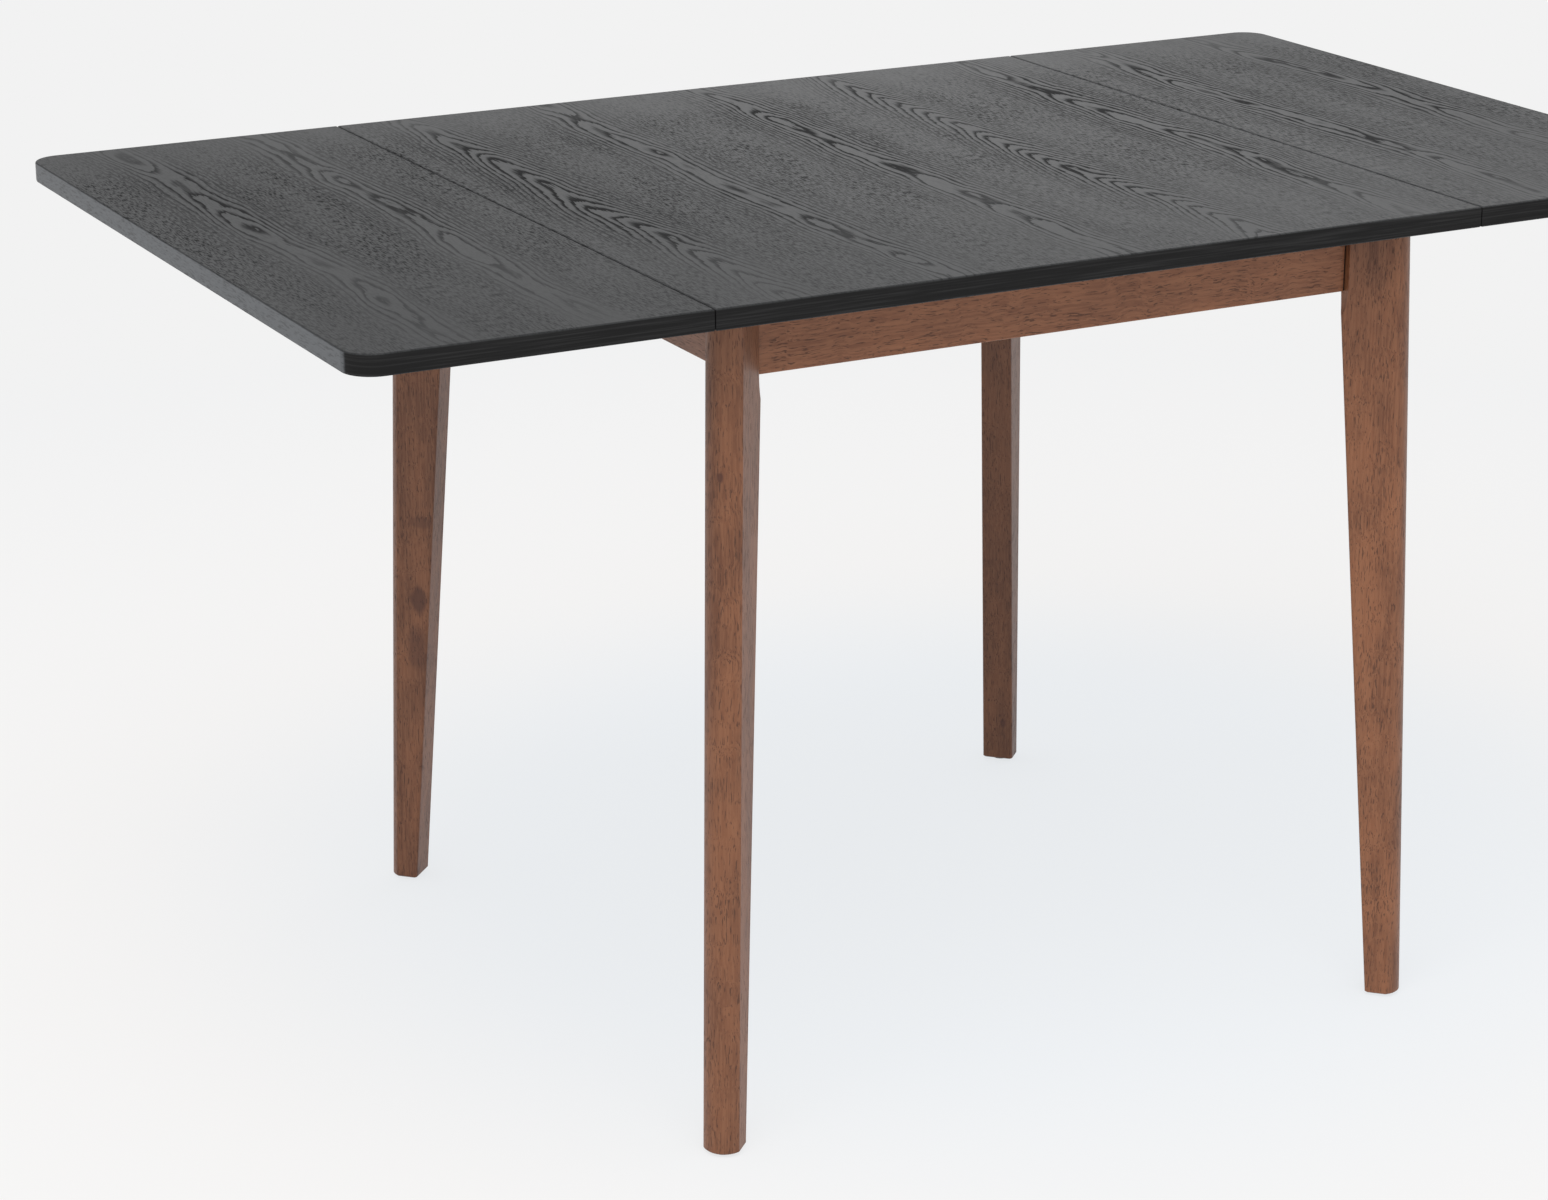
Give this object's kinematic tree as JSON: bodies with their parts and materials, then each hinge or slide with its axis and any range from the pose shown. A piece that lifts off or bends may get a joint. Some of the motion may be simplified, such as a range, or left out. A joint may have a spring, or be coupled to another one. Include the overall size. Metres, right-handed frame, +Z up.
{
  "type": "drop-leaf dining table",
  "caption": "Dining table with a fixed centre top on diagonal tapered legs, and drop leaves that fold down on butt hinges beside hinged support arms.",
  "frame": {"origin": "on the floor, under the middle of the table", "axes": "+X along the length from the left leaf to the right leaf, +Y from the front edge to the back edge, +Z up"},
  "size_m": [1.3412, 0.785, 0.75],
  "materials": {
    "black_ash": "black-stained open-pore ash veneer, matt lacquer",
    "walnut": "walnut-stained hardwood, satin lacquer",
    "block_beech": "raw beech",
    "zinc_steel": "bright zinc",
    "hinge_steel": "satin nickel",
    "dark_steel": "black powder coat",
    "felt": "dark wool felt"
  },
  "bodies": {
    "base": {"leg_front_left": "walnut", "corner_block_front_left": "block_beech", "leg_front_right": "walnut", "corner_block_front_right": "block_beech", "leg_back_right": "walnut", "corner_block_back_right": "block_beech", "leg_back_left": "walnut", "corner_block_back_left": "block_beech", "apron_front": "walnut", "apron_right": "walnut", "apron_back": "walnut", "apron_left": "walnut", "leg_bolts": "zinc_steel", "bolt_washers": "zinc_steel", "bolt_nuts": "zinc_steel", "top_clips": "zinc_steel", "foot_pads": "felt", "centre_top": "black_ash", "hinge_plates_fixed_left": "hinge_steel", "hinge_pins_left": "hinge_steel", "arm_fork_left_front": "dark_steel", "arm_pin_left_front": "hinge_steel", "arm_fork_left_back": "dark_steel", "arm_pin_left_back": "hinge_steel", "hinge_plates_fixed_right": "hinge_steel", "hinge_pins_right": "hinge_steel", "arm_fork_right_front": "dark_steel", "arm_pin_right_front": "hinge_steel", "arm_fork_right_back": "dark_steel", "arm_pin_right_back": "hinge_steel"},
    "leaf_left": {"leaf_left": "black_ash", "hinge_plates_leaf_left": "hinge_steel"},
    "leaf_right": {"leaf_right": "black_ash", "hinge_plates_leaf_right": "hinge_steel"},
    "arm_left_front": {"support_arm_left_front": "walnut", "arm_pad_left_front": "felt"},
    "arm_left_back": {"support_arm_left_back": "walnut", "arm_pad_left_back": "felt"},
    "arm_right_front": {"support_arm_right_front": "walnut", "arm_pad_right_front": "felt"},
    "arm_right_back": {"support_arm_right_back": "walnut", "arm_pad_right_back": "felt"}
  },
  "joints": [
    {"name": "leaf_left_fold", "type": "hinge", "parent": "base", "child": "leaf_left", "pos_m": [-0.37, 0, 0.732], "axis": [0, -1, 0], "range_deg": [0, 90]},
    {"name": "arm_left_front_swing", "type": "hinge", "parent": "base", "child": "arm_left_front", "pos_m": [-0.34, -0.19, 0.702], "axis": [0, -1, 0], "range_deg": [0, 90]},
    {"name": "arm_left_back_swing", "type": "hinge", "parent": "base", "child": "arm_left_back", "pos_m": [-0.34, 0.19, 0.702], "axis": [0, -1, 0], "range_deg": [0, 90]},
    {"name": "leaf_right_fold", "type": "hinge", "parent": "base", "child": "leaf_right", "pos_m": [0.37, 0, 0.732], "axis": [0, 1, 0], "range_deg": [0, 90]},
    {"name": "arm_right_front_swing", "type": "hinge", "parent": "base", "child": "arm_right_front", "pos_m": [0.34, -0.19, 0.702], "axis": [0, 1, 0], "range_deg": [0, 90]},
    {"name": "arm_right_back_swing", "type": "hinge", "parent": "base", "child": "arm_right_back", "pos_m": [0.34, 0.19, 0.702], "axis": [0, 1, 0], "range_deg": [0, 90]}
  ],
  "couplings": [
    {"joint": "arm_left_front_swing", "follows": "leaf_left_fold", "ratio": 1},
    {"joint": "arm_left_back_swing", "follows": "leaf_left_fold", "ratio": 1},
    {"joint": "arm_right_front_swing", "follows": "leaf_right_fold", "ratio": 1},
    {"joint": "arm_right_back_swing", "follows": "leaf_right_fold", "ratio": 1}
  ]
}
